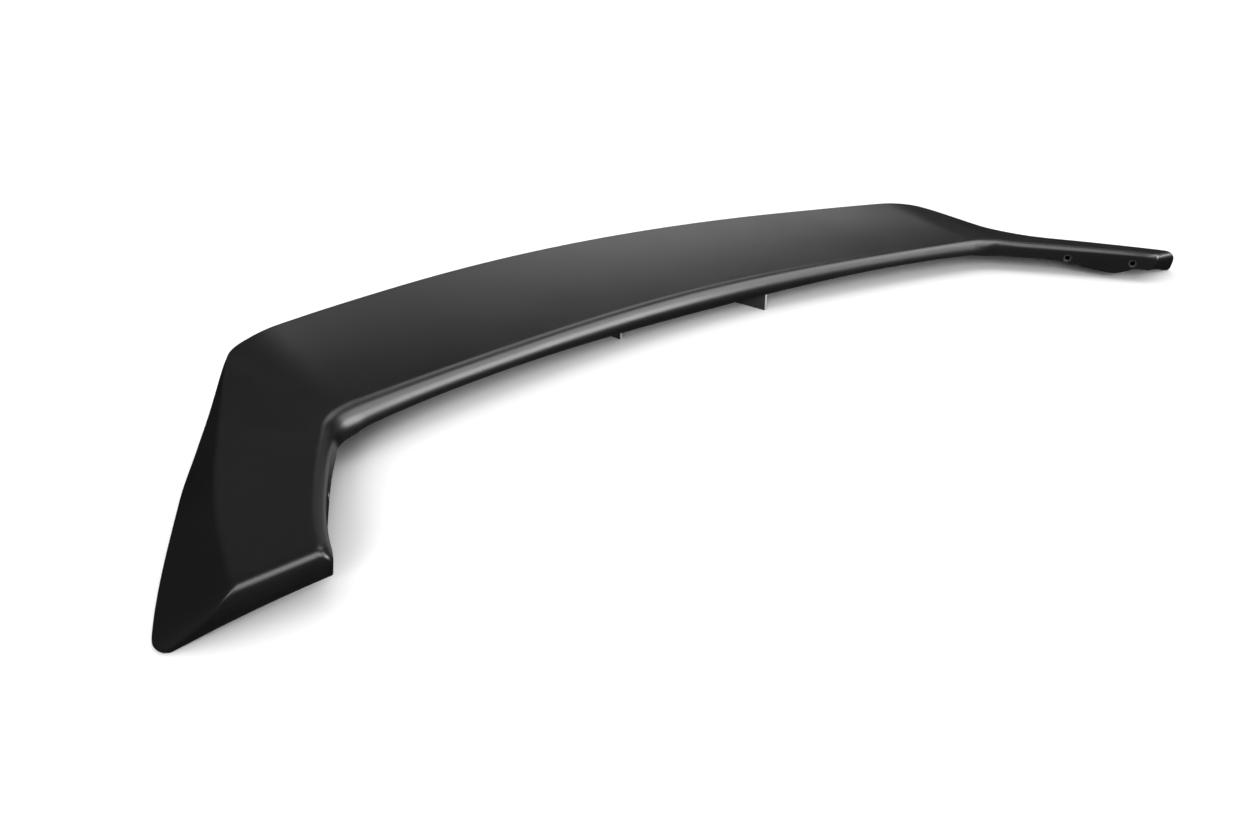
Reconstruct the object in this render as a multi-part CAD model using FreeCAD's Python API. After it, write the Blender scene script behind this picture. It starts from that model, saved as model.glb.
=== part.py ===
import FreeCAD, Part
import math
import os

# Rear wing of a hatchback: one U-shaped moulded skin, open underneath, with two sheet ribs bonded inside.
# Millimetres. X runs across the car, +Y points to the trailing edge, +Z up.
# The origin is under the middle of the wing, on the surface that it lies on.

# Plan of the trailing edge, from the centre line to the end of a leg.
# The overall sizes are those of the sharp outline: rounding takes a few millimetres off each.
overall_width = 1306.0
overall_depth = 436.0
lip_arc_radius = 1086.0
lip_corner_x = 488.0
lip_corner_radius = 26.0
crease_bow = 13.0

# Plan of the inner edge
blade_chord = 191.0
ridge_arc_radius = 1803.0
ridge_corner_x = 467.0
ridge_corner_radius = 36.0
ridge_bow = 5.5
leg_end_width = 56.0

# Heights above the surface
lip_height_centre = 68.0
lip_height_corner = 70.0
crease_height = 33.0
blade_ridge_height = 40.0
leg_ridge_height = 38.5
foot_height_centre = 18.0
foot_height_quarter = 24.5
foot_height_corner = 20.0
foot_height_leg = 7.5
foot_height_end = 16.5

# Section: how far the foot of the inner wall stands behind (+) or in front of (-) the ridge
wall_lean_centre = 10.0
wall_lean_quarter = 1.5
wall_lean_leg = -4.0
wall_lean_end = -4.0
blade_hollow = 9.0
corner_hollow = 7.0
lip_nose = 2.0
lip_edge = 5.0
facet_width_leg = 22.5
facet_width_end = 40.0
facet_slope = 0.625
rear_slope = 0.5
skin = 3.5

# Rounding
ridge_radius_blade = 18.0
ridge_radius_leg = 12.5
lip_radius = 2.5
crease_radius = 14.0
inside_radius = 3.0
leg_end_radius = 16.0
leg_end_undercut = 32.0
wall_share = 0.1
facet_share = 0.31
leg_end_arch = 2.5

# Ribs
rib_spacing = 196.0
rib_thickness = 3.0
rib_length = 116.0
left_rib_setback = 28.0

# Fixing holes in the inner wall of each leg
fixing_radius = 3.0
fixing_pitch = 76.0
fixing_distance = 66.0
fixing_height = 23.0
countersink_radius = 4.8
countersink_depth = 1.8
drill_reach = 20.0

# Stretches of the plan that belong to the corner, measured from the corner arc's two ends
ridge_corner_lead = 20.0
lip_corner_lead = 60.0
lip_corner_run = 90.0

# Stations along a half: 0 is the centre line, the corner runs from 1 to 2, and the leg ends at 3
corner_start, corner_end, leg_end = 1.0, 2.0, 3.0
wall_quarter = 0.75
lip_rise_start, lip_peak, crease_level = 0.7, 1.1, 2.35
foot_corner, foot_leg_start, foot_lowest = 1.4, 2.3, 2.9
facet_start, facet_flare = 1.3, 2.3
crease_soft_start, crease_soft_end = 1.6, 2.3
undercut_start = 1.6
blade_steps = 12
corner_steps = 14
leg_steps = 12
end_steps = 5

# A rounding takes at most this share of a side of its corner, or of a side that ends in a rim
longest_reach = 0.45
longest_reach_to_rim = 0.9

leg_end_y = -overall_depth / 2
lip_y = overall_depth / 2 - lip_nose
ridge_y = lip_y - blade_chord
crease_end_x = overall_width / 2 - facet_width_end - lip_nose
ridge_end_x = crease_end_x - leg_end_width
end_shear = math.tan(math.radians(leg_end_undercut))


def smooth(t):
    t = min(max(t, 0.0), 1.0)
    return t * t * (3.0 - 2.0 * t)


def eased(u, knots):
    # Value at station u, eased from each (station, value) knot to the next
    for (u0, v0), (u1, v1) in zip(knots, knots[1:]):
        if u <= u1:
            return v0 + (v1 - v0) * smooth((u - u0) / (u1 - u0))
    return knots[-1][1]


class Outline:
    # Plan curve of one half: an arc across the blade, a corner arc, and an arc down the leg
    def __init__(self, centre_y, arc_radius, corner_x, end, bow, corner_radius):
        self.blade = (0.0, centre_y - arc_radius, arc_radius)
        corner = (corner_x, self.blade[1] + math.sqrt(arc_radius ** 2 - corner_x ** 2))
        self.leg = self.bowed(corner, end, bow)
        self.corner = self.rounding(corner_radius)
        self.blade_turn = (math.pi / 2, self.heading(self.blade, self.corner))
        self.corner_turn = (self.blade_turn[1], self.heading(self.leg, self.corner))
        self.blade_length = arc_radius * (self.blade_turn[0] - self.blade_turn[1])
        self.corner_length = corner_radius * (self.corner_turn[0] - self.corner_turn[1])

    @staticmethod
    def bowed(start, end, bow):
        # Circle through both points, bulging outward from their chord by bow
        span = math.dist(start, end)
        radius = (span ** 2 / 4 + bow ** 2) / (2 * bow)
        inward = ((end[1] - start[1]) / span, -(end[0] - start[0]) / span)
        reach = radius - bow
        middle = ((start[0] + end[0]) / 2, (start[1] + end[1]) / 2)
        return (middle[0] + inward[0] * reach, middle[1] + inward[1] * reach, radius)

    def rounding(self, radius):
        # Circle of the given radius that touches the blade's and the leg's circles from inside
        bx, by, br = self.blade
        lx, ly, lr = self.leg
        gap = math.dist((bx, by), (lx, ly))
        along = (gap ** 2 + (br - radius) ** 2 - (lr - radius) ** 2) / (2 * gap)
        off = math.sqrt((br - radius) ** 2 - along ** 2)
        ex, ey = (lx - bx) / gap, (ly - by) / gap
        centres = [(bx + ex * along - s * ey * off, by + ey * along + s * ex * off) for s in (1, -1)]
        x, y = max(centres)
        return (x, y, radius)

    @staticmethod
    def heading(circle, other):
        return math.atan2(other[1] - circle[1], other[0] - circle[0])

    @staticmethod
    def on(circle, angle):
        return (circle[0] + circle[2] * math.cos(angle), circle[1] + circle[2] * math.sin(angle))

    def along(self, distance):
        # Point at a distance from the centre line, measured along the curve
        if distance <= self.blade_length:
            return self.on(self.blade, self.blade_turn[0] - distance / self.blade[2])
        distance -= self.blade_length
        if distance <= self.corner_length:
            return self.on(self.corner, self.corner_turn[0] - distance / self.corner[2])
        distance -= self.corner_length
        return self.on(self.leg, self.corner_turn[1] - distance / self.leg[2])

    def on_leg(self, y):
        return (self.leg[0] + math.sqrt(self.leg[2] ** 2 - (y - self.leg[1]) ** 2), y)


ridge_line = Outline(
    ridge_y, ridge_arc_radius, ridge_corner_x, (ridge_end_x, leg_end_y), ridge_bow, ridge_corner_radius
)
lip_line = Outline(
    lip_y, lip_arc_radius, lip_corner_x, (crease_end_x, leg_end_y), crease_bow, lip_corner_radius
)


def plan(u, stop_y):
    # Ridge and lip points of station u: 0 to 1 blade, 1 to 2 corner, 2 to 3 leg
    ridge_start = ridge_line.blade_length - ridge_corner_lead
    ridge_turn = ridge_line.corner_length + 2 * ridge_corner_lead
    lip_start = lip_line.blade_length - lip_corner_lead
    lip_turn = lip_line.corner_length + lip_corner_lead + lip_corner_run
    if u <= corner_start:
        return ridge_line.along(u * ridge_start), lip_line.along(u * lip_start)
    if u <= corner_end:
        turned = u - corner_start
        ridge_point = ridge_line.along(ridge_start + turned * ridge_turn)
        return ridge_point, lip_line.along(lip_start + turned * lip_turn)
    ridge_from = ridge_line.along(ridge_start + ridge_turn)[1]
    lip_from = lip_line.along(lip_start + lip_turn)[1]
    down = u - corner_end
    ridge_point = ridge_line.on_leg(ridge_from + (stop_y - ridge_from) * down)
    lip_point = lip_line.on_leg(lip_from + (stop_y - lip_from) * down)
    return ridge_point, lip_point


def unit(a, b):
    length = math.dist(a, b)
    return ((b[0] - a[0]) / length, (b[1] - a[1]) / length)


def inset_corner(a, b, c, depth):
    # Corner b of the path a-b-c, moved in by depth from both of its sides
    d1, d2 = unit(a, b), unit(b, c)
    n1, n2 = (d1[1], -d1[0]), (d2[1], -d2[0])
    scale = depth / (1 + n1[0] * n2[0] + n1[1] * n2[1])
    return (b[0] + (n1[0] + n2[0]) * scale, b[1] + (n1[1] + n2[1]) * scale)


def inset_sharp_corner(a, b, c, before, after):
    # Corner b of the path a-b-c, moved in by a different depth from each of its sides
    d1, d2 = unit(a, b), unit(b, c)
    sine = d1[1] * d2[0] - d1[0] * d2[1]
    along1, along2 = after / sine, before / sine
    return (b[0] + d2[0] * along2 - d1[0] * along1, b[1] + d2[1] * along2 - d1[1] * along1)


def at_height(point, direction, z):
    step = (z - point[1]) / direction[1]
    return (point[0] + direction[0] * step, z)


def facet_width(u):
    # Grows evenly from the corner, then flares to the leg's end with the square of the distance
    steady = min(max((u - facet_start) / (facet_flare - facet_start), 0.0), 1.0)
    flare = min(max((u - facet_flare) / (leg_end - facet_flare), 0.0), 1.0)
    return facet_width_leg * steady + (facet_width_end - facet_width_leg) * flare ** 2


def section(u, width, end_inset, depth):
    # Corners of a section, in (distance from the ridge, height), inset by depth from the outer skin:
    # foot, ridge, hollow of the top, crease, facet edge, toe
    ridge_z = eased(u, [(corner_start, blade_ridge_height), (corner_end, leg_ridge_height)])
    crease_z = eased(u, [(lip_rise_start, lip_height_centre), (lip_peak, lip_height_corner),
                         (crease_level, crease_height)])
    foot_z = eased(u, [(0, foot_height_centre), (wall_quarter, foot_height_quarter),
                       (foot_corner, foot_height_corner), (foot_leg_start, foot_height_corner),
                       (foot_lowest, foot_height_leg), (leg_end, foot_height_end)])
    lean = eased(u, [(0, wall_lean_centre), (wall_quarter, wall_lean_quarter), (corner_end, wall_lean_leg),
                     (leg_end, wall_lean_end)])
    sag = eased(u, [(0, blade_hollow), (corner_start, corner_hollow), (crease_level, 0.0)])
    facet = facet_width(u)
    foot = (lean, foot_z)
    ridge = (0.0, ridge_z)
    crease = (width, crease_z)
    hollow = (width / 2, (ridge_z + crease_z) / 2 - sag)
    edge_z = crease_z - lip_edge - facet * facet_slope
    edge = (width + lip_nose + facet, edge_z)

    moved = [inset_sharp_corner(foot, ridge, hollow, wall_share * end_inset, end_inset),
             inset_corner(ridge, hollow, crease, end_inset),
             inset_sharp_corner(hollow, crease, edge, end_inset, facet_share * end_inset)]
    foot = at_height(moved[0], unit(foot, ridge), foot_z)
    edge = at_height(moved[2], unit(crease, edge), edge_z)
    toe = (edge[0] - rear_slope * edge_z, 0.0)
    path = [foot, *moved, edge, toe]

    inner = [inset_corner(a, b, c, depth) for a, b, c in zip(path, path[1:], path[2:])]
    first = at_height(inner[0], unit(path[0], path[1]), foot_z)
    last = at_height(inner[-1], unit(path[-2], path[-1]), 0.0)
    return [first, *inner, last]


def rounded(path, radii):
    # Pole rows of a section: its corners, with the two tangent points of each rounding and its weight
    foot, ridge, hollow, crease, edge, toe = path
    rows = [(foot, 1.0)]
    for (a, b, c), radius in zip(((foot, ridge, hollow), (hollow, crease, edge), (crease, edge, toe)), radii):
        back, ahead = unit(b, a), unit(b, c)
        half_turn = (math.pi - math.acos(back[0] * ahead[0] + back[1] * ahead[1])) / 2
        room_back = math.dist(a, b) * (longest_reach_to_rim if a is foot else longest_reach)
        room_ahead = math.dist(b, c) * (longest_reach_to_rim if c is toe else longest_reach)
        reach = min(radius * math.tan(half_turn), room_back, room_ahead)
        rows.append(((b[0] + back[0] * reach, b[1] + back[1] * reach), 1.0))
        rows.append((b, math.cos(half_turn)))
        rows.append(((b[0] + ahead[0] * reach, b[1] + ahead[1] * reach), 1.0))
        if b is ridge:
            rows.append((hollow, 1.0))
    rows.append((toe, 1.0))
    return rows


def station(u, back_off, end_inset, depth, stop_y):
    # Pole rows of one station in space; back_off is its distance from the leg's end beyond station 3
    ridge_point, lip_point = plan(u, stop_y + leg_end_radius)
    if back_off is not None:
        ridge_point = ridge_line.on_leg(stop_y + back_off)
        lip_point = lip_line.on_leg(stop_y + back_off)
    width = math.dist(ridge_point, lip_point)
    across = unit(ridge_point, lip_point)
    crease_round = eased(u, [(crease_soft_start, lip_radius), (crease_soft_end, crease_radius)])
    ridge_round = eased(u, [(corner_start, ridge_radius_blade), (corner_end, ridge_radius_leg)])
    outer_radii = [max(ridge_round - end_inset, lip_radius), crease_round, lip_radius]
    radii = [max(r - depth, inside_radius) if depth else r for r in outer_radii]
    lean_back = eased(u, [(undercut_start, 0.0), (leg_end, end_shear)])
    rows = []
    for (p, z), weight in rounded(section(u, width, end_inset, depth), radii):
        x = ridge_point[0] + across[0] * p
        y = ridge_point[1] + across[1] * p + lean_back * (leg_ridge_height - z)
        rows.append((FreeCAD.Vector(x, y, z), weight))
    return rows


def half_stations(depth):
    # Stations of one half from the centre line out, and on round a quarter circle onto the leg's end plane
    stop_y = leg_end_y + depth / math.cos(math.radians(leg_end_undercut))
    places = [i / blade_steps for i in range(blade_steps)]
    places += [corner_start + i / corner_steps for i in range(corner_steps)]
    places += [corner_end + i / leg_steps for i in range(leg_steps + 1)]
    stations = [station(u, None, 0.0, depth, stop_y) for u in places]
    for i in range(1, end_steps + 1):
        turned = math.pi / 2 * i / end_steps
        back_off = leg_end_radius * (1 - math.sin(turned))
        end_inset = leg_end_radius * (1 - math.cos(turned))
        stations.append(station(leg_end, back_off, end_inset, depth, stop_y))
    return stations


def mirrored(rows):
    return [(FreeCAD.Vector(-p.x, p.y, p.z), w) for p, w in rows]


def skin_surfaces(depth):
    # Strips that share their edge rows, so that neighbours meet exactly:
    # wall, ridge, top, crease, facet, edge, rear
    half = half_stations(depth)
    stations = [mirrored(rows) for rows in half[:0:-1]] + half
    count = len(stations)
    knots = list(range(count - 2))
    mults = [4] + [1] * (count - 4) + [4]
    surfaces = []
    for first, last in ((0, 1), (1, 3), (3, 5), (5, 7), (7, 8), (8, 10), (10, 11)):
        degree = last - first
        surface = Part.BSplineSurface()
        surface.buildFromPolesMultsKnots(
            [[p for p, w in rows[first:last + 1]] for rows in stations],
            mults, [degree + 1] * 2, knots, [0, 1], False, False, 3, degree,
            [[w for p, w in rows[first:last + 1]] for rows in stations],
        )
        surfaces.append(surface)
    return surfaces


def end_curves(surfaces, side):
    # Edges of the strips at the left (0) or right (1) leg's end, in order from foot to toe
    return [s.uIso(s.bounds()[side]).toShape() for s in surfaces]


def end_points(surfaces, side):
    u = surfaces[0].bounds()[side]
    return surfaces[0].value(u, 0), surfaces[-1].value(u, 1)


def end_bottom(foot, toe):
    # Lower edge of a leg's end wall: a shallow arch that lies in the end plane
    rise = FreeCAD.Vector(0, -end_shear, 1) * leg_end_arch
    return Part.Arc(foot, (foot + toe) / 2 + rise, toe).toShape()


def planar(edges):
    return Part.Face(Part.Wire(Part.__sortEdges__(edges)))


def wing_shell():
    outer, inner = skin_surfaces(0.0), skin_surfaces(skin)
    faces = [s.toShape() for s in outer + inner]
    foot_rim = Part.makeRuledSurface(outer[0].vIso(0).toShape(), inner[0].vIso(0).toShape())
    toe_edges = [outer[-1].vIso(1).toShape(), inner[-1].vIso(1).toShape()]
    for side in (0, 1):
        ends = [end_points(surfaces, side) for surfaces in (outer, inner)]
        for surfaces, (foot, toe) in zip((outer, inner), ends):
            faces.append(planar(end_curves(surfaces, side) + [end_bottom(foot, toe)]))
        (outer_foot, outer_toe), (inner_foot, inner_toe) = ends
        outer_bottom = end_bottom(outer_foot, outer_toe)
        inner_bottom = end_bottom(inner_foot, inner_toe)
        faces.append(Part.makeRuledSurface(outer_bottom, inner_bottom))
        toe_edges.append(Part.makeLine(outer_toe, inner_toe))
    faces += [foot_rim, planar(toe_edges)]
    shell = Part.Shell(faces)
    shell.sewShape()
    solid = Part.Solid(shell)
    if solid.Volume < 0:
        solid.reverse()
    drills = [cutter for side in (-1, 1) for cutter in drillings(solid, side)]
    return solid.cut(Part.makeCompound(drills)).Solids[0]


def fixing_mouth(solid, side, y):
    # Point of a leg's inner wall at the fixing height
    start = FreeCAD.Vector(side * (ridge_line.on_leg(y)[0] - drill_reach), y, fixing_height)
    sight = Part.makeLine(start, start + FreeCAD.Vector(side * 2 * drill_reach, 0, 0))
    crossings = [v.Point for v in sight.common(solid).Vertexes]
    return min(crossings, key=lambda point: point.distanceToPoint(start))


def drillings(solid, side):
    # Cutters of a leg's two countersunk holes, which run square to the line between their mouths
    middle_y = leg_end_y + fixing_distance
    near = fixing_mouth(solid, side, middle_y + fixing_pitch / 2)
    far = fixing_mouth(solid, side, middle_y - fixing_pitch / 2)
    run = (far - near).normalize()
    into = FreeCAD.Vector(0, 0, side).cross(run)
    sink_outer_radius = 2 * countersink_radius - fixing_radius
    cutters = []
    for step in (-0.5, 0.5):
        start = (near + far) / 2 + run * fixing_pitch * step - into * countersink_depth
        bore = Part.makeCylinder(fixing_radius, drill_reach, start, into)
        sink = Part.makeCone(sink_outer_radius, fixing_radius, 2 * countersink_depth, start, into)
        cutters.append(bore.fuse(sink))
    return cutters


def rib(side, setback, shell):
    # Upright plate, trimmed by the shell that it is bonded to; the piece underneath is kept
    x = side * rib_spacing / 2
    arc_drop = ridge_arc_radius - math.sqrt(ridge_arc_radius ** 2 - x ** 2)
    front = ridge_y - arc_drop + wall_lean_centre + setback
    corner = FreeCAD.Vector(x - rib_thickness / 2, front, 0)
    plate = Part.makeBox(rib_thickness, rib_length - setback, lip_height_centre, corner)
    pieces = plate.cut(shell).Solids
    return min(pieces, key=lambda piece: piece.CenterOfMass.z)


os.makedirs("parts", exist_ok=True)
shell = wing_shell()
nodes = {
    "wing_shell": shell,
    "left_rib": rib(-1, left_rib_setback, shell),
    "right_rib": rib(1, 0.0, shell),
}
for name, shape in nodes.items():
    box = shape.BoundBox
    print(name, shape.ShapeType, len(shape.Solids), shape.isValid(), round(shape.Volume), box)
    shape.exportStep("parts/" + name + ".step")
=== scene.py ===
import math
import bmesh
import bpy
import numpy as np
from mathutils import Matrix, Vector


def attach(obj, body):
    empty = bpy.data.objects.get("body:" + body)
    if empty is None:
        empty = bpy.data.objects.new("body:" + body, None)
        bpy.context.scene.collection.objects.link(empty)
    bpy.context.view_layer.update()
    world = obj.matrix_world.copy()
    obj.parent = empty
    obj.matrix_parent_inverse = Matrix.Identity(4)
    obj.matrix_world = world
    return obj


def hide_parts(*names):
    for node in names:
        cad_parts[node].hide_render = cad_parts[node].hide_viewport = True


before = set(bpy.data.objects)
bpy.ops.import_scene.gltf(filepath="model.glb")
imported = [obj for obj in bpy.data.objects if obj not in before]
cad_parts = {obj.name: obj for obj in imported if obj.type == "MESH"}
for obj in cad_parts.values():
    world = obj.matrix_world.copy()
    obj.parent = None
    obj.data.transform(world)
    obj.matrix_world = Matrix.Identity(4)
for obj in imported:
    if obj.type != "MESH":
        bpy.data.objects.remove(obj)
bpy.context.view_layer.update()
millimetre = 0.001
print("frame loaded:", sorted(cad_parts))

# the moulded skin: millimetres, as in the part
shell = dict(
    overallWidth=1306.0, overallDepth=436.0, skin=3.5,
    lipArcRadius=1086.0, lipCornerX=488.0, lipCornerRadius=26.0, creaseBow=13.0,
    bladeChord=191.0, ridgeArcRadius=1803.0, ridgeCornerX=467.0, ridgeCornerRadius=36.0, ridgeBow=5.5,
    legEndWidth=56.0, lipNose=2.0, lipEdge=5.0, facetSlope=0.625, rearSlope=0.5,
    # stations along a half, each with the values there: 0 is the centre, 1 to 2 the corner, 3 the leg's end
    creaseAt=(0.7, 1.1, 2.35), creaseHeight=(68.0, 70.0, 33.0),
    ridgeAt=(1, 2), ridgeHeight=(40.0, 38.5), ridgeRadius=(18.0, 12.5),
    footAt=(0, 0.75, 1.4, 2.3, 2.9, 3), footHeight=(18.0, 24.5, 20.0, 20.0, 7.5, 16.5),
    wallAt=(0, 0.75, 2, 3), wallLean=(10.0, 1.5, -4.0, -4.0),
    hollowAt=(0, 1, 2.35), hollow=(9.0, 7.0, 0.0),
    facetAt=(1.3, 2.3, 3.0), facetWidth=(22.5, 40.0),
    softAt=(1.6, 2.3), creaseRadius=(2.5, 14.0),
    undercutAt=(1.6, 3), legEndUndercut=32.0,
    lipRadius=2.5, insideRadius=3.0, longestReach=0.45, longestReachToRim=0.9,
    legEndRadius=16.0, wallShare=0.1, facetShare=0.31, legEndArch=2.5, cornerLeads=(20.0, 60.0, 90.0),
    steps=(12, 14, 12), endSteps=5,  # stations over the blade, round the corner, down the leg, round its end
    # first and last control row and samples of each strip; the top's samples crowd toward its edges
    strips=((0, 1, 5), (1, 3, 12), (3, 5, 16), (5, 7, 8), (7, 8, 6), (8, 10, 6), (10, 11, 6)), topStart=3,
    spanSamples=8, endRows=7, sharpAngle=34.0,
)
endShear = math.tan(math.radians(shell["legEndUndercut"]))
legEndY = -shell["overallDepth"] / 2
lipY = shell["overallDepth"] / 2 - shell["lipNose"]
ridgeY = lipY - shell["bladeChord"]
creaseEndX = shell["overallWidth"] / 2 - shell["facetWidth"][1] - shell["lipNose"]
ridgeEndX = creaseEndX - shell["legEndWidth"]


def eased(u, stations, values):
    # between two stations the value follows start + (end - start)(3t^2 - 2t^3)
    at, value = np.array(stations, float), np.array(values, float)
    i = np.clip(np.searchsorted(at, u) - 1, 0, len(at) - 2)
    t = np.clip((u - at[i]) / (at[i + 1] - at[i]), 0, 1)
    return value[i] + (value[i + 1] - value[i]) * t * t * (3 - 2 * t)


def unit(a, b):
    # from a toward b: the difference over its length
    return (b - a) / np.linalg.norm(b - a, axis=-1, keepdims=True)


class PlanCurve:
    # half an outline seen from above: an arc over the blade, a corner arc, then a bowed arc down the leg
    def __init__(self, centreY, arcRadius, cornerX, end, bow, cornerRadius):
        self.blade = np.array([0.0, centreY - arcRadius]), arcRadius
        start = np.array([cornerX, self.blade[0][1] + math.sqrt(arcRadius ** 2 - cornerX ** 2)])
        chord = np.array(end) - start
        span = np.linalg.norm(chord)
        legRadius = (span ** 2 / 4 + bow ** 2) / (2 * bow)  # circle through both ends that bulges by bow
        inward = np.array([chord[1], -chord[0]]) / span
        self.leg = start + chord / 2 + inward * (legRadius - bow), legRadius
        gap = self.leg[0] - self.blade[0]
        far = np.linalg.norm(gap)
        reachB, reachL = arcRadius - cornerRadius, legRadius - cornerRadius
        along = (far ** 2 + reachB ** 2 - reachL ** 2) / (2 * far)
        off = math.sqrt(reachB ** 2 - along ** 2)
        e = gap / far
        centres = [self.blade[0] + e * along + np.array([-e[1], e[0]]) * off * side for side in (1, -1)]
        self.corner = max(centres, key=lambda c: c[0]), cornerRadius
        self.turnB = math.atan2(*(self.corner[0] - self.blade[0])[::-1])
        self.turnL = math.atan2(*(self.corner[0] - self.leg[0])[::-1])
        self.bladeLength = arcRadius * (math.pi / 2 - self.turnB)
        self.cornerLength = cornerRadius * (self.turnB - self.turnL)

    def along(self, distance):
        # centre + radius (cos a, sin a), with a falling by distance / radius on each arc in turn
        d = np.asarray(distance)[..., None]
        parts = [(self.blade, math.pi / 2, d), (self.corner, self.turnB, d - self.bladeLength),
                 (self.leg, self.turnL, d - self.bladeLength - self.cornerLength)]
        spots = [c + r * np.concatenate([np.cos(a - s / r), np.sin(a - s / r)], -1) for (c, r), a, s in parts]
        onLeg = d > self.bladeLength + self.cornerLength
        return np.where(d <= self.bladeLength, spots[0], np.where(onLeg, spots[2], spots[1]))

    def atY(self, y):
        # the point of the leg's arc at height y of the plan
        (cx, cy), r = self.leg
        return np.stack([cx + np.sqrt(r ** 2 - (y - cy) ** 2), y], -1)


ridgeLine = PlanCurve(ridgeY, shell["ridgeArcRadius"], shell["ridgeCornerX"], (ridgeEndX, legEndY),
                      shell["ridgeBow"], shell["ridgeCornerRadius"])
lipLine = PlanCurve(lipY, shell["lipArcRadius"], shell["lipCornerX"], (creaseEndX, legEndY),
                    shell["creaseBow"], shell["lipCornerRadius"])


def planPoints(u, stopY):
    # ridge and lip points of station u: 0 to 1 over the blade, 1 to 2 round the corner, 2 to 3 down the leg
    ridgeLead, lipLead, lipRun = shell["cornerLeads"]
    pair = []
    for line, lead, run in ((ridgeLine, ridgeLead, ridgeLead), (lipLine, lipLead, lipRun)):
        start = line.bladeLength - lead
        turn = line.cornerLength + lead + run
        early = line.along(np.clip(u, 0, 1) * start + np.clip(u - 1, 0, 1) * turn)
        fromY = line.along(start + turn)[1]
        late = line.atY(fromY + (stopY - fromY) * np.clip(u - 2, 0, 1))
        pair.append(np.where((u > 2)[:, None], late, early))
    return pair


def insetCorner(a, b, c, before, after):
    # corner b of the path a-b-c, moved in from the side before it and from the side after it:
    # b + (d2 before - d1 after) / sine of the turn
    d1, d2 = unit(a, b), unit(b, c)
    sine = (d1[:, 1] * d2[:, 0] - d1[:, 0] * d2[:, 1])[:, None]
    return b + d2 * np.reshape(before, (-1, 1)) / sine - d1 * np.reshape(after, (-1, 1)) / sine


def evenInset(a, b, c, depth):
    # corner b moved along the sum of its two sides' normals, so that both sides move in by depth
    d1, d2 = unit(a, b), unit(b, c)
    n1, n2 = (np.stack([d[:, 1], -d[:, 0]], -1) for d in (d1, d2))
    return b + (n1 + n2) * np.reshape(depth, (-1, 1)) / (1 + np.sum(n1 * n2, -1, keepdims=True))


def atHeight(point, direction, z):
    # point + direction step, with the step that brings it to height z
    step = (z - point[:, 1]) / direction[:, 1]
    return np.stack([point[:, 0] + direction[:, 0] * step, np.broadcast_to(z, step.shape)], -1)


def sectionCorners(u, width, endInset, depth):
    # (distance from the ridge, height) of foot, ridge, hollow, crease, facet edge and toe at every station
    s = shell
    ridgeZ = eased(u, s["ridgeAt"], s["ridgeHeight"])
    creaseZ = eased(u, s["creaseAt"], s["creaseHeight"])
    footZ = eased(u, s["footAt"], s["footHeight"])
    lean = eased(u, s["wallAt"], s["wallLean"])
    sag = eased(u, s["hollowAt"], s["hollow"])
    begin, bend, end = s["facetAt"]  # the facet grows evenly, then flares with the square of the distance
    steady = np.clip((u - begin) / (bend - begin), 0, 1)
    flare = np.clip((u - bend) / (end - bend), 0, 1)
    facet = s["facetWidth"][0] * steady + (s["facetWidth"][1] - s["facetWidth"][0]) * flare ** 2
    edgeZ = creaseZ - s["lipEdge"] - facet * s["facetSlope"]
    foot, ridge, crease = (np.stack(xz, -1) for xz in ((lean, footZ), (0 * u, ridgeZ), (width, creaseZ)))
    hollow = np.stack([width / 2, (ridgeZ + creaseZ) / 2 - sag], -1)
    edge = np.stack([width + s["lipNose"] + facet, edgeZ], -1)

    ridge2 = insetCorner(foot, ridge, hollow, s["wallShare"] * endInset, endInset)
    hollow2 = evenInset(ridge, hollow, crease, endInset)
    crease2 = insetCorner(hollow, crease, edge, endInset, s["facetShare"] * endInset)
    foot2 = atHeight(ridge2, unit(foot, ridge), footZ)
    edge2 = atHeight(crease2, unit(crease, edge), edgeZ)
    toe2 = np.stack([edge2[:, 0] - s["rearSlope"] * edgeZ, 0 * u], -1)
    path = [foot2, ridge2, hollow2, crease2, edge2, toe2]
    inner = [evenInset(a, b, c, depth + 0 * u) for a, b, c in zip(path, path[1:], path[2:])]
    first = atHeight(inner[0], unit(path[0], path[1]), footZ)
    last = atHeight(inner[-1], unit(path[-2], path[-1]), 0 * u)
    return [first, *inner, last]


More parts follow.
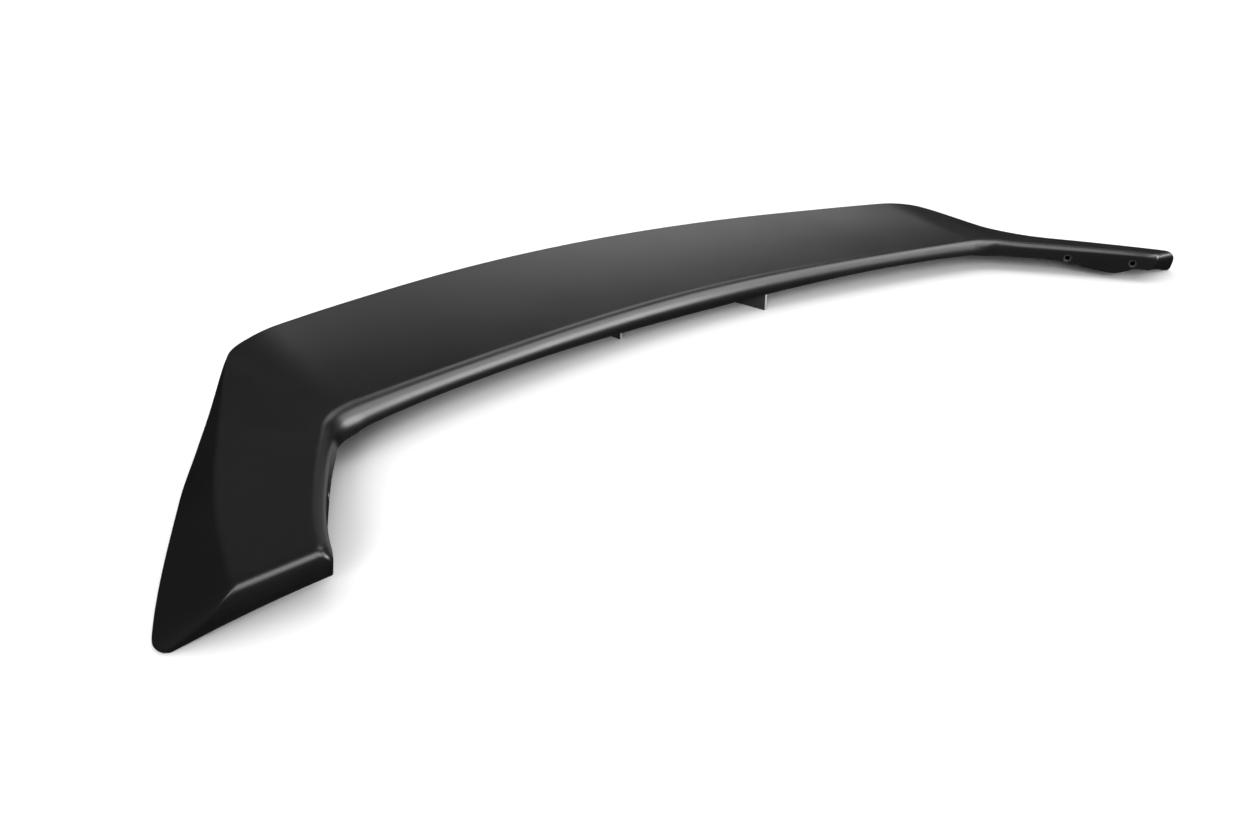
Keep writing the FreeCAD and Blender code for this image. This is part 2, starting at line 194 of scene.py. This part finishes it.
def stationPoles(depth):
    # control points and weights of every station: the section's corners, each rounding given by its two
    # tangent points and its corner with weight cos(half the turn)
    s = shell
    stopY = legEndY + depth / math.cos(math.radians(s["legEndUndercut"]))
    stretches = [start + np.arange(n) / n for start, n in enumerate(s["steps"])]
    rounds = s["endSteps"]
    u = np.concatenate([*stretches, np.full(rounds + 1, float(len(stretches)))])
    turned = np.linspace(0, math.pi / 2, rounds + 1)[1:]
    endInset = np.zeros(len(u))
    endInset[-rounds:] = s["legEndRadius"] * (1 - np.cos(turned))
    endY = stopY + s["legEndRadius"] * (1 - np.sin(turned))
    ridgePoint, lipPoint = planPoints(u, stopY + s["legEndRadius"])
    ridgePoint[-rounds:], lipPoint[-rounds:] = ridgeLine.atY(endY), lipLine.atY(endY)
    width = np.linalg.norm(lipPoint - ridgePoint, axis=-1)
    across = unit(ridgePoint, lipPoint)
    creaseRound = eased(u, s["softAt"], s["creaseRadius"])
    ridgeRound = eased(u, s["ridgeAt"], s["ridgeRadius"])
    radii = [np.maximum(ridgeRound - endInset, s["lipRadius"]), creaseRound, s["lipRadius"] + 0 * u]
    if depth:
        radii = [np.maximum(r - depth, s["insideRadius"]) for r in radii]

    foot, ridge, hollow, crease, edge, toe = sectionCorners(u, width, endInset, depth)
    rows, weights = [foot], [np.ones(len(u))]
    for (a, b, c), radius in zip(((foot, ridge, hollow), (hollow, crease, edge), (crease, edge, toe)), radii):
        back, ahead = unit(b, a), unit(b, c)
        halfTurn = (math.pi - np.arccos(np.sum(back * ahead, -1))) / 2
        roomBack = np.linalg.norm(a - b, axis=-1) * s["longestReachToRim" if a is foot else "longestReach"]
        roomAhead = np.linalg.norm(c - b, axis=-1) * s["longestReachToRim" if c is toe else "longestReach"]
        reach = np.minimum(radius * np.tan(halfTurn), np.minimum(roomBack, roomAhead))[:, None]
        rows += [b + back * reach, b, b + ahead * reach]
        weights += [np.ones(len(u)), np.cos(halfTurn), np.ones(len(u))]
        if b is ridge:
            rows.append(hollow)
            weights.append(np.ones(len(u)))
    rows, weights = np.stack([*rows, toe], 1), np.stack([*weights, np.ones(len(u))], 1)
    leanBack = eased(u, s["undercutAt"], (0, endShear))[:, None]
    spots = ridgePoint[:, None] + across[:, None] * rows[..., :1]
    y = spots[..., 1] + leanBack * (s["ridgeHeight"][1] - rows[..., 1])
    half = np.stack([spots[..., 0], y, rows[..., 1]], -1)
    flip = np.array([-1.0, 1.0, 1.0])
    return np.concatenate([half[:0:-1] * flip, half]), np.concatenate([weights[:0:-1], weights])


def splineBasis(t, count):
    # cubic basis by the Cox-de Boor recurrence on the knots 0 0 0 0 1 2 ... n n n n
    last = count - 3
    knots = np.concatenate([[0] * 3, np.arange(last + 1), [last] * 3]).astype(float)
    t = t[:, None]
    basis = ((knots[:-1] <= t) & (t < knots[1:])).astype(float)
    basis[t[:, 0] >= last, count - 1] = 1
    for degree in (1, 2, 3):
        rise, fall = knots[degree:-1] - knots[:-degree - 1], knots[degree + 1:] - knots[1:-degree]
        up = (t - knots[:-degree - 1]) / np.where(rise == 0, 1, rise) * (rise != 0)
        down = (knots[degree + 1:] - t) / np.where(fall == 0, 1, fall) * (fall != 0)
        basis = up * basis[:, :-1] + down * basis[:, 1:]
    return basis


def skinGrid(depth):
    # S(t, v) = sum of N(t) w P B(v) over sum of N(t) w B(v): a cubic spline along the wing, and across it
    # runs of straight lines and conic arcs; the last two spans at either end are sampled twice as finely
    poles, weights = stationPoles(depth)
    spans = len(poles) - 3
    fine = np.linspace(0, 1, 2 * shell["spanSamples"], endpoint=False)
    middle = np.linspace(2, spans - 2, shell["spanSamples"] * (spans - 4), endpoint=False)
    t = np.concatenate([fine, 1 + fine, middle, spans - 2 + fine, spans - 1 + fine, [spans]])
    along = splineBasis(t, len(poles))
    pieces = []
    finalRow = weights.shape[1] - 1
    for first, last, count in shell["strips"]:
        v = np.linspace(0, 1, count + 1)
        if first == shell["topStart"]:
            v = (1 - np.cos(math.pi * v)) / 2
        v = (v if last == finalRow else v[:-1])[:, None]
        degree = last - first
        k = np.arange(degree + 1)
        binomial = np.array([math.comb(degree, int(i)) for i in k])
        across = binomial * v ** k * (1 - v) ** (degree - k)
        w = weights[:, first:last + 1]
        top = np.einsum("ts,skd,vk->tvd", along, poles[:, first:last + 1] * w[..., None], across)
        pieces.append(top / np.einsum("ts,sk,vk->tv", along, w, across)[..., None])
    return np.concatenate(pieces, 1) * millimetre


def endGrid(curve):
    # end wall of a leg: straight lines from the section's curve down to a shallow arch between its foot and
    # its toe, which rises by 4 share (1 - share) of its height
    foot, toe = curve[0], curve[-1]
    share = np.clip((curve[:, :1] - foot[0]) / (toe[0] - foot[0]), 0, 1)
    rise = np.array([0, -endShear, 1]) * shell["legEndArch"] * millimetre
    arch = foot + (toe - foot) * share + rise * 4 * share * (1 - share)
    w = np.linspace(0, 1, shell["endRows"])[None, :, None]
    return curve[:, None] + (arch - curve)[:, None] * w


def meshFromGrids(name, grids, mergeDistance=2e-6):
    # every grid of points becomes quads; points that coincide are then merged and the faces turned outwards
    points, quads, offset = [], [], 0
    for grid, wraps in grids:
        rows, columns = grid.shape[:2]
        index = offset + np.arange(rows * columns).reshape(rows, columns)
        if wraps:
            index = np.concatenate([index, index[:, :1]], 1)
        corners = index[:-1, :-1], index[1:, :-1], index[1:, 1:], index[:-1, 1:]
        quads.append(np.stack(corners, -1).reshape(-1, 4))
        points.append(grid.reshape(-1, 3))
        offset += rows * columns
    points, quads = np.concatenate(points), np.concatenate(quads)
    mesh = bpy.data.meshes.new(name)
    mesh.vertices.add(len(points))
    mesh.vertices.foreach_set("co", points.ravel())
    mesh.loops.add(quads.size)
    mesh.loops.foreach_set("vertex_index", quads.ravel())
    mesh.polygons.add(len(quads))
    mesh.polygons.foreach_set("loop_start", np.arange(len(quads)) * 4)
    mesh.update(calc_edges=True)
    work = bmesh.new()
    work.from_mesh(mesh)
    bmesh.ops.remove_doubles(work, verts=work.verts, dist=mergeDistance)
    bmesh.ops.dissolve_degenerate(work, edges=work.edges, dist=mergeDistance)
    bmesh.ops.recalc_face_normals(work, faces=work.faces)
    work.to_mesh(mesh)
    work.free()
    piece = bpy.data.objects.new(name, mesh)
    bpy.context.scene.collection.objects.link(piece)
    return piece


def buildShell():
    # each section is a closed loop, out along the outer skin and back along the inner one, so both rims close
    outer, inner = skinGrid(0.0), skinGrid(shell["skin"])
    grids = [(np.concatenate([outer, inner[:, ::-1]], 1), True)]
    for end in (0, -1):
        walls = [endGrid(outer[end]), endGrid(inner[end])]
        grids += [(wall, False) for wall in walls]
        grids.append((np.stack([wall[:, -1] for wall in walls], 1), False))
    return meshFromGrids("wingShell", grids)


wingShell = buildShell()
print("shell:", len(wingShell.data.vertices), "points")

# countersunk fixing holes in the legs' inner walls
fixing = dict(pitch=76.0, fromEnd=66.0, height=23.0, radius=3.0, sinkRadius=4.8, sinkDepth=1.8,
              drillDepth=5.4, segments=64, reach=20.0)


def wallMouth(side, y):
    # the point where a line across the wing, at the fixings' height, meets a leg's inner wall
    sight = Vector((side * (ridgeLine.atY(np.array(y))[0] - fixing["reach"]), y, fixing["height"]))
    return np.array(wingShell.ray_cast(sight * millimetre, Vector((side, 0, 0)))[1])


def fixingAxes():
    # mouth and direction of the four holes: half a pitch to each side of the middle, and square to the line
    # between a leg's two mouths
    middle, half = legEndY + fixing["fromEnd"], fixing["pitch"] / 2
    axes = []
    for side in (-1, 1):
        near, far = wallMouth(side, middle + half), wallMouth(side, middle - half)
        run = unit(near, far)
        into = np.cross((0, 0, side), run)
        axes += [((near + far) / 2 + run * half * millimetre * step, into) for step in (-1, 1)]
    return axes


def cutterGrid(mouth, into):
    # a profile of (depth, radius) turned about the hole's axis
    sink, drill, bore = fixing["sinkDepth"], fixing["drillDepth"], fixing["radius"]
    wide = 2 * fixing["sinkRadius"] - bore
    profile = np.array([(-sink, 0), (-sink, wide), (sink, bore), (drill, bore), (drill, 0)])
    angle = np.linspace(0, 2 * math.pi, fixing["segments"], endpoint=False)
    sideways = np.cross(into, (0, 0, 1))
    ring = np.cos(angle)[:, None] * sideways + np.sin(angle)[:, None] * np.array([0, 0, 1.0])
    depth, radius = profile.T * millimetre
    return mouth + depth[:, None, None] * into + radius[:, None, None] * ring


axes = fixingAxes()
mouths = [mouth for mouth, into in axes]
cutters = [(cutterGrid(mouth, into), True) for mouth, into in axes]
cutter = meshFromGrids("fixingCutter", cutters)
cut = wingShell.modifiers.new("fixings", "BOOLEAN")
cut.operation, cut.solver, cut.object = "DIFFERENCE", "EXACT", cutter
bpy.context.view_layer.update()
drilled = bpy.data.meshes.new_from_object(wingShell.evaluated_get(bpy.context.evaluated_depsgraph_get()))
wingShell.modifiers.clear()
wingShell.data = drilled
bpy.data.objects.remove(cutter)
drilled.shade_smooth()
drilled.set_sharp_from_angle(angle=math.radians(shell["sharpAngle"]))
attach(wingShell, "root")
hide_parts("wing_shell")
print("fixings cut:", len(mouths), "points now", len(drilled.vertices))


# finishes
class Signal:
    # one socket; arithmetic on it adds Math nodes
    def __init__(self, finish, socket):
        self.finish, self.socket = finish, socket

    def by(self, operation, *inputs):
        return self.finish.node("ShaderNodeMath", dict(operation=operation), dict(enumerate(inputs)))

    def __add__(self, other):
        return self.by("ADD", self, other)

    def __radd__(self, other):
        return self.by("ADD", other, self)

    def __sub__(self, other):
        return self.by("SUBTRACT", self, other)

    def __rsub__(self, other):
        return self.by("SUBTRACT", other, self)

    def __mul__(self, other):
        return self.by("MULTIPLY", self, other)

    def __rmul__(self, other):
        return self.by("MULTIPLY", other, self)

    def __abs__(self):
        return self.by("ABSOLUTE", self)


class Finish:
    # a material; node() adds any node from its type, its settings and its sockets
    def __init__(self, name):
        self.material = bpy.data.materials.new(name)
        self.material.use_nodes = True
        self.tree = self.material.node_tree
        self.shader = self.tree.nodes["Principled BSDF"]

    def node(self, kind, settings, inputs, output=0):
        made = self.tree.nodes.new(kind)
        for key, value in settings.items():
            setattr(made, key, value)
        for key, value in inputs.items():
            self.feed(made.inputs[key], value)
        return Signal(self, made.outputs[output])

    def feed(self, socket, value):
        if isinstance(value, Signal):
            self.tree.links.new(value.socket, socket)
        else:
            socket.default_value = value

    def wear(self, **inputs):
        for key, value in inputs.items():
            self.feed(self.shader.inputs[key.replace("_", " ")], value)

    def place(self):
        return self.node("ShaderNodeTexCoord", {}, {}, "Object")

    def noise(self, scale, detail, roughness=0.5):
        sockets = dict(Vector=self.place(), Scale=scale, Detail=detail, Roughness=roughness)
        return self.node("ShaderNodeTexNoise", {}, sockets, "Fac")

    def ramp(self, value, low, high):
        sockets = {"Value": value, "From Min": low, "From Max": high}
        return self.node("ShaderNodeMapRange", dict(clamp=True), sockets)

    def mix(self, share, a, b):
        # sockets 0, 6 and 7 are the share and the two colours, and output 2 is the mixed colour
        a, b = ((*colour, 1) if isinstance(colour, tuple) else colour for colour in (a, b))
        return self.node("ShaderNodeMix", dict(data_type="RGBA"), {0: share, 6: a, 7: b}, 2)

    def bump(self, height, strength, distance):
        return self.node("ShaderNodeBump", {}, dict(Height=height, Strength=strength, Distance=distance))

    def normalPart(self, axis):
        normal = self.node("ShaderNodeNewGeometry", {}, {}, "Normal")
        return self.node("ShaderNodeSeparateXYZ", {}, {0: normal}, axis)


satinBlack = dict(
    deep=(0.0042, 0.0042, 0.0043), worn=(0.0072, 0.0072, 0.0074), dust=(0.05, 0.048, 0.046),
    # the countersink colour is the paler cut plastic together with a painted highlight on the rings round the
    # holes
    cutPlasticAndHighlight=(0.03, 0.03, 0.029), roughness=0.32, ior=1.5,
    grain=dict(scale=1100.0, detail=2.0, roughness=0.6), cloud=dict(scale=14.0, detail=4.0, roughness=0.55),
    specks=dict(scale=420.0, detail=3.0, roughness=0.7), speckRange=(0.6, 0.75), dustFacing=(0.6, 1.0),
    dustFilm=0.05, dustSpecks=0.12, cutRingAndHighlightRadius=(0.0050, 0.0044), bump=(0.12, 0.0003),
    cloudSheen=0.10, grainSheen=0.06, bareSheen=0.1,
)


def satinBlackPlastic():
    # two blacks mixed by a soft cloud, dust on what faces up, and a roughness that follows cloud and grain
    look = satinBlack
    f = Finish("satinBlackPlastic")
    grain = f.noise(**look["grain"])
    cloud = f.noise(**look["cloud"])
    lying = f.ramp(f.normalPart("Z"), *look["dustFacing"])
    specks = f.ramp(f.noise(**look["specks"]), *look["speckRange"])
    colour = f.mix(cloud, look["deep"], look["worn"])
    colour = f.mix(lying * (look["dustFilm"] + specks * look["dustSpecks"]) * cloud, colour, look["dust"])
    cutRingAndHighlight = 0
    for mouth in mouths:  # the plastic is a little lighter where a countersink was cut through the grained skin, and the ring is lightened further as a painted highlight at each hole
        ends = {0: f.place(), 1: tuple(mouth)}
        offset = f.node("ShaderNodeVectorMath", dict(operation="DISTANCE"), ends, "Value")
        cutRingAndHighlight = f.ramp(offset, *look["cutRingAndHighlightRadius"]) + cutRingAndHighlight
    # painted highlight: the rings round the fixing holes are mixed toward a lighter grey, partly the cut
    # plastic's own tone and partly painted light
    colour = f.mix(cutRingAndHighlight, colour, look["cutPlasticAndHighlight"])
    sheen = (cloud - 0.5) * look["cloudSheen"] + (grain - 0.5) * look["grainSheen"] + cutRingAndHighlight * look["bareSheen"]
    f.wear(Base_Color=colour, IOR=look["ior"], Roughness=look["roughness"] + sheen)
    f.wear(Normal=f.bump(grain, *look["bump"]))
    return f.material


ribSheet = dict(
    face=(0.016, 0.016, 0.017), scuffed=(0.03, 0.03, 0.031), cutEdge=(0.32, 0.32, 0.31), roughness=0.55,
    fibreSize=900.0, fibreDetail=3.0, fibreStretch=(1.0, 0.15, 1.0), fibreSheen=0.2, bump=(0.2, 0.0003),
    cutFacing=(0.5, 0.8), cutShare=0.75, cutFibres=0.25,
)


def ribSheetPlastic():
    # fibres stretched along the sheet, and a paler colour on the cut edges, which don't face along X
    look = ribSheet
    f = Finish("ribSheetPlastic")
    stretched = f.node("ShaderNodeMapping", {}, dict(Vector=f.place(), Scale=look["fibreStretch"]))
    sockets = dict(Vector=stretched, Scale=look["fibreSize"], Detail=look["fibreDetail"])
    fibres = f.node("ShaderNodeTexNoise", {}, sockets, "Fac")
    cutFace = 1 - f.ramp(abs(f.normalPart("X")), *look["cutFacing"])
    colour = f.mix(fibres, look["face"], look["scuffed"])
    colour = f.mix(cutFace * (look["cutShare"] + fibres * look["cutFibres"]), colour, look["cutEdge"])
    f.wear(Base_Color=colour, Roughness=look["roughness"] + (fibres - 0.5) * look["fibreSheen"])
    f.wear(Normal=f.bump(fibres, *look["bump"]))
    return f.material


wingShell.data.materials.clear()
wingShell.data.materials.append(satinBlackPlastic())
ribFinish = ribSheetPlastic()
for name in ("left_rib", "right_rib"):
    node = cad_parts[name]
    for place in node.material_slots:
        place.material = ribFinish
print("finishes made")

# floor, light and camera
floorPaper = dict(size=60.0, points=9, pale=(0.9, 0.9, 0.9), shaded=(0.8865, 0.8865, 0.8865),
                  mottle=dict(scale=3.0, detail=3.0), roughness=0.85, sheen=0.1)
studio = dict(
    ambient=1.05, mirrored=0.012,  # the room's light for matt rays and for mirrored ones
    # azimuth, elevation and spread in degrees; a matt light isn't mirrored, and a gloss one is only mirrored
    lights=(
        dict(name="frontFill", azimuth=-137, elevation=18, spread=24, strength=3.5, lights="matt"),
        dict(name="sideBox", azimuth=-30, elevation=16, spread=28, strength=2.4, lights="gloss"),
        dict(name="middleBox", azimuth=-20, elevation=42, spread=28, strength=0.9, lights="gloss"),
        dict(name="topBox", azimuth=-60, elevation=74, spread=34, strength=1.4, lights="gloss"),
        dict(name="backBox", azimuth=38, elevation=41, spread=22, strength=0.25, lights="gloss"),
        dict(name="lowBackBox", azimuth=45, elevation=-4, spread=36, strength=0.13, lights="gloss"),
        dict(name="leftBox", azimuth=78, elevation=26, spread=32, strength=0.02, lights="gloss"),
        dict(name="endBox", azimuth=-63, elevation=50, spread=30, strength=1.0, lights="gloss"),
        dict(name="frontBox", azimuth=-140, elevation=62, spread=24, strength=0.8, lights="gloss"),
    ))


def floorGrid(size, points):
    # flat square of points at z = 0
    side = np.linspace(-size / 2, size / 2, points)
    x, y = np.meshgrid(side, side, indexing="ij")
    return np.stack([x, y, 0 * x], -1)


floor = meshFromGrids("studioFloor", [(floorGrid(floorPaper["size"], floorPaper["points"]), False)])
paper = Finish("palePaper")
mottle = paper.noise(**floorPaper["mottle"])
paper.wear(Base_Color=paper.mix(mottle, floorPaper["pale"], floorPaper["shaded"]))
paper.wear(Roughness=floorPaper["roughness"] + (mottle - 0.5) * floorPaper["sheen"])
floor.data.materials.append(paper.material)
floor.visible_glossy = False

world = bpy.data.worlds.new("studioWorld")
bpy.context.scene.world = world
world.use_nodes = True
sky = world.node_tree.nodes["Background"]
rays = world.node_tree.nodes.new("ShaderNodeLightPath")
dim = world.node_tree.nodes.new("ShaderNodeMapRange")  # reflections see a dimmer room than the floor does
dim.inputs["To Min"].default_value = studio["ambient"]
dim.inputs["To Max"].default_value = studio["mirrored"]
world.node_tree.links.new(rays.outputs["Is Glossy Ray"], dim.inputs["Value"])
world.node_tree.links.new(dim.outputs[0], sky.inputs["Strength"])
sky.inputs["Color"].default_value = (1, 1, 1, 1)
openFloor = bpy.data.collections.new("openFloor")  # for a light that the floor doesn't shade
openFloor.objects.link(floor)
openFloor.collection_objects[0].light_linking.link_state = "EXCLUDE"
for one in studio["lights"]:
    lamp = bpy.data.lights.new(one["name"], "SUN")
    lamp.angle, lamp.energy = math.radians(one["spread"]), one["strength"]
    holder = bpy.data.objects.new(one["name"], lamp)
    bpy.context.scene.collection.objects.link(holder)
    holder.visible_glossy = one["lights"] == "gloss"
    holder.visible_diffuse = one["lights"] == "matt"
    if one["elevation"] < 0:  # most of this light stands below the horizon, so the floor doesn't shade it
        holder.light_linking.blocker_collection = openFloor
    azimuth, elevation = math.radians(one["azimuth"]), math.radians(one["elevation"])
    level = math.cos(elevation)
    toward = Vector((level * math.cos(azimuth), level * math.sin(azimuth), math.sin(elevation)))
    holder.rotation_euler = toward.to_track_quat("Z", "Y").to_euler()

view = dict(at=(-0.75788, -0.69402, 0.32206), right=(0.75032, -0.66136, 0.00045),
            up=(0.24997, 0.28418, 0.92561), lens=28.8, sensor=36.0, clip=(0.01, 100.0))
cameraData = bpy.data.cameras.new("photoView")
cameraData.sensor_fit = "HORIZONTAL"
cameraData.sensor_width, cameraData.lens = view["sensor"], view["lens"]
cameraData.clip_start, cameraData.clip_end = view["clip"]
camera = bpy.data.objects.new("photoView", cameraData)
bpy.context.scene.collection.objects.link(camera)
right, up = Vector(view["right"]).normalized(), Vector(view["up"]).normalized()
turn = Matrix((right, up, right.cross(up))).transposed().to_4x4()
camera.matrix_world = Matrix.Translation(view["at"]) @ turn
bpy.context.scene.camera = camera
bpy.context.scene.view_settings.view_transform = "Standard"
print("studio set")
